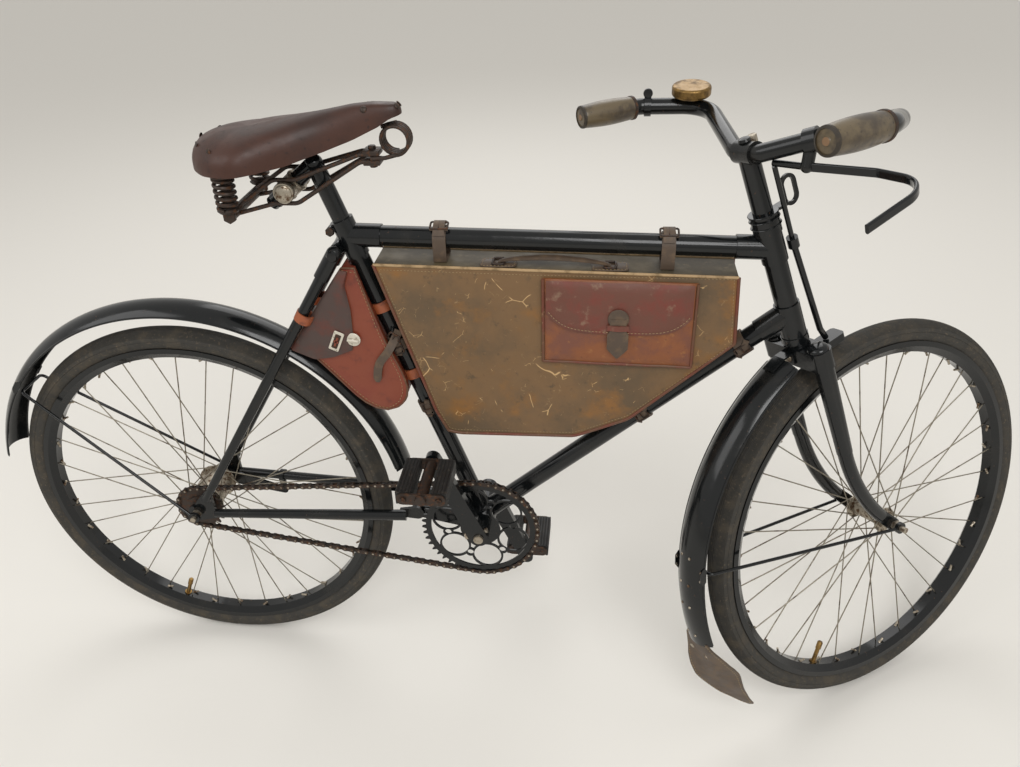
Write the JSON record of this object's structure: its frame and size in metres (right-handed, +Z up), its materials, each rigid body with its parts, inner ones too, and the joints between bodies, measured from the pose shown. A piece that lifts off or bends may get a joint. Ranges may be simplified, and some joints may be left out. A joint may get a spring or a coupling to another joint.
{
  "type": "bicycle",
  "caption": "Army-pattern roadster bicycle with lugged steel frame, sprung leather saddle, long mudguards, swept handlebar, rod front brake, frame case and tool bag.",
  "frame": {"origin": "the rider's point on the saddle top", "axes": "+X ahead, the way the bicycle rides, +Y to the rider's left, +Z up with the frame upright"},
  "size_m": [1.7837, 0.4885, 1.0456],
  "materials": {
    "painted": "worn gloss black enamel",
    "steel": "dull nickelled steel with light rust",
    "dark_steel": "oiled and browned steel",
    "spoke_steel": "dull wire",
    "brass": "dulled brass",
    "tyre": "aged rubber",
    "rubber": "hardened rubber",
    "grip": "horn-like moulding, worn",
    "saddle_leather": "worn brown leather",
    "case_leather": "ochre leather, scuffed",
    "strap_leather": "reddish brown leather"
  },
  "bodies": {
    "frame": {"head_tube": "painted", "top_tube": "painted", "down_tube": "painted", "seat_tube": "painted", "bottom_bracket": "painted", "chain_stay_right": "painted", "chain_stay_left": "painted", "seat_stay_right": "painted", "seat_stay_left": "painted", "stay_bridge": "painted", "headset_cups": "painted", "seat_post": "painted", "saddle_clamp": "steel", "saddle_rails": "dark_steel", "saddle_springs": "dark_steel", "saddle_leather": "saddle_leather", "rear_mudguard": "painted", "rear_mudguard_stays": "painted", "rear_axle": "steel", "brake_arm": "painted", "chain": "dark_steel", "frame_case": "case_leather", "case_pouch": "strap_leather", "case_handle": "strap_leather", "straps": "strap_leather", "tool_bag": "strap_leather"},
    "fork": {"fork": "painted", "headset_cones": "painted", "stem": "painted", "handlebar": "painted", "grip_right": "grip", "grip_left": "grip", "bell": "brass", "brake_lever": "painted", "brake_rod": "painted", "brake_shoe": "painted", "lamp_bracket": "painted", "front_mudguard": "painted", "mud_flap": "strap_leather", "front_mudguard_stays": "painted", "guard_holder": "painted", "front_axle": "steel"},
    "front_wheel": {"front_tyre": "tyre", "front_rim": "painted", "front_hub": "steel", "front_spokes": "spoke_steel"},
    "rear_wheel": {"rear_tyre": "tyre", "rear_rim": "painted", "rear_hub": "steel", "rear_spokes": "spoke_steel"},
    "sprocket": {"rear_sprocket": "dark_steel"},
    "cranks": {"chainring": "painted", "crank_right": "painted", "crank_left": "painted", "crank_axle": "steel"},
    "pedal_right": {"pedal_right": "dark_steel", "pedal_right_rubbers": "rubber"},
    "pedal_left": {"pedal_left": "dark_steel", "pedal_left_rubbers": "rubber"}
  },
  "joints": [
    {"name": "steering", "type": "hinge", "parent": "frame", "child": "fork", "pos_m": [0.76877, 0, -0.30042], "axis": [-0.342, 0, 0.9397], "range_deg": [-94.5, 25.5]},
    {"name": "front_wheel_spin", "type": "hinge", "parent": "fork", "child": "front_wheel", "pos_m": [0.94741, 0.03285, -0.65149], "axis": [-0.5322, 0.8241, -0.1937], "continuous": true},
    {"name": "rear_wheel_spin", "type": "hinge", "parent": "frame", "child": "rear_wheel", "pos_m": [-0.192, 0, -0.648], "axis": [0, 1, 0], "continuous": true},
    {"name": "crank_spin", "type": "hinge", "parent": "frame", "child": "cranks", "pos_m": [0.3, 0, -0.664], "axis": [0, 1, 0], "continuous": true},
    {"name": "sprocket_spin", "type": "hinge", "parent": "frame", "child": "sprocket", "pos_m": [-0.192, 0, -0.648], "axis": [0, 1, 0], "continuous": true},
    {"name": "pedal_right_spin", "type": "hinge", "parent": "cranks", "child": "pedal_right", "pos_m": [0.23358, 0, -0.50751], "axis": [0, 1, 0], "continuous": true},
    {"name": "pedal_left_spin", "type": "hinge", "parent": "cranks", "child": "pedal_left", "pos_m": [0.36642, 0, -0.82049], "axis": [0, 1, 0], "continuous": true}
  ],
  "couplings": [
    {"joint": "sprocket_spin", "follows": "crank_spin", "ratio": 2.4}
  ]
}
